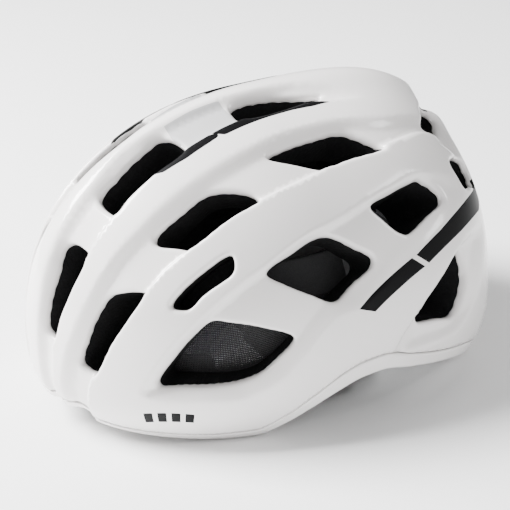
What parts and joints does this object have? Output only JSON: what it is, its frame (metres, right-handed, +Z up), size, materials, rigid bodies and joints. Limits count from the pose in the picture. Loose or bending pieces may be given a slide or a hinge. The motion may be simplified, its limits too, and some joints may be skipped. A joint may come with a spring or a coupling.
{
  "type": "road cycling helmet",
  "caption": "Vented road cycling helmet: white in-mould shell on a black foam liner, with a dial-tightened head cradle, webbing straps and a side-release chin buckle.",
  "frame": {"origin": "on the surface the helmet stands on, under the middle of its box", "axes": "+X towards the wearer's left, -Y the front of the helmet, +Z up"},
  "size_m": [0.2042, 0.2877, 0.1766],
  "materials": {
    "shell_white": "gloss",
    "foam_black": "matt",
    "pad_fabric": "matt",
    "webbing": "matt",
    "nylon_black": "satin",
    "nylon_grey": "satin",
    "rubber_black": "matt",
    "screw_steel": "satin"
  },
  "bodies": {
    "helmet": {"outer_shell": "shell_white", "lower_shell": "shell_white", "eps_liner": "foam_black", "brow_pad": "pad_fabric", "crown_pad": "pad_fabric", "side_pad_left": "pad_fabric", "side_pad_right": "pad_fabric", "chin_pad": "pad_fabric", "front_strap_left": "webbing", "front_strap_right": "webbing", "rear_strap_left": "webbing", "rear_strap_right": "webbing", "chin_strap_left": "webbing", "chin_strap_right": "webbing", "temple_stud_left": "nylon_black", "temple_stud_right": "nylon_black", "strap_anchor_front_left": "nylon_black", "strap_anchor_front_right": "nylon_black", "strap_anchor_rear_left": "nylon_black", "strap_anchor_rear_right": "nylon_black", "divider_left": "nylon_black", "divider_right": "nylon_black", "buckle_socket": "nylon_black", "height_rail": "nylon_grey", "strap_keeper": "rubber_black"},
    "cradle": {"fit_cradle": "nylon_black", "dial_housing": "nylon_black", "nape_pad_left": "pad_fabric", "nape_pad_right": "pad_fabric"},
    "dial": {"dial_knob": "nylon_grey", "dial_pinion": "nylon_grey", "dial_screw": "screw_steel"},
    "arm_left": {"headband_arm_left": "nylon_black"},
    "arm_right": {"headband_arm_right": "nylon_black"},
    "lever_left": {"cam_lever_left": "nylon_grey"},
    "lever_right": {"cam_lever_right": "nylon_grey"},
    "plug": {"buckle_plug": "nylon_black"},
    "prong_upper": {"buckle_prong_upper": "nylon_black"},
    "prong_lower": {"buckle_prong_lower": "nylon_black"}
  },
  "joints": [
    {"name": "height_adjust", "type": "hinge", "parent": "helmet", "child": "cradle", "pos_m": [0, -0.045, 0.03], "axis": [1, 0, 0], "range_deg": [-3.5, 4]},
    {"name": "dial_turn", "type": "hinge", "parent": "cradle", "child": "dial", "pos_m": [0, 0.09, 0.03], "axis": [0, 1, 0], "range_deg": [0, 130]},
    {"name": "arm_left_slide", "type": "slide", "parent": "cradle", "child": "arm_left", "axis": [-1, 0, 0], "range_m": [0, 0.00795]},
    {"name": "arm_right_slide", "type": "slide", "parent": "cradle", "child": "arm_right", "axis": [1, 0, 0], "range_m": [0, 0.00795]},
    {"name": "lever_left_turn", "type": "hinge", "parent": "helmet", "child": "lever_left", "pos_m": [0.0586, 0.0159, 0.0086], "axis": [0, 0, 1], "range_deg": [0, 70]},
    {"name": "lever_right_turn", "type": "hinge", "parent": "helmet", "child": "lever_right", "pos_m": [-0.0586, 0.0159, 0.0086], "axis": [0, 0, -1], "range_deg": [0, 70]},
    {"name": "buckle_release", "type": "slide", "parent": "helmet", "child": "plug", "axis": [-1, 0, 0], "range_m": [0, 0.018], "deforming": ["chin_strap_right"]},
    {"name": "prong_upper_squeeze", "type": "hinge", "parent": "plug", "child": "prong_upper", "pos_m": [-0.0005, 0.006, 0.0169], "axis": [0, 1, 0], "range_deg": [0, 6], "stiffness_Nm_per_rad": 0.05},
    {"name": "prong_lower_squeeze", "type": "hinge", "parent": "plug", "child": "prong_lower", "pos_m": [-0.0005, 0.006, 0.0065], "axis": [0, -1, 0], "range_deg": [0, 6], "stiffness_Nm_per_rad": 0.05}
  ],
  "couplings": [
    {"joint": "arm_left_slide", "follows": "dial_turn", "m_per_rad": 0.0035},
    {"joint": "arm_right_slide", "follows": "dial_turn", "m_per_rad": 0.0035},
    {"joint": "prong_lower_squeeze", "follows": "prong_upper_squeeze", "ratio": 1}
  ]
}
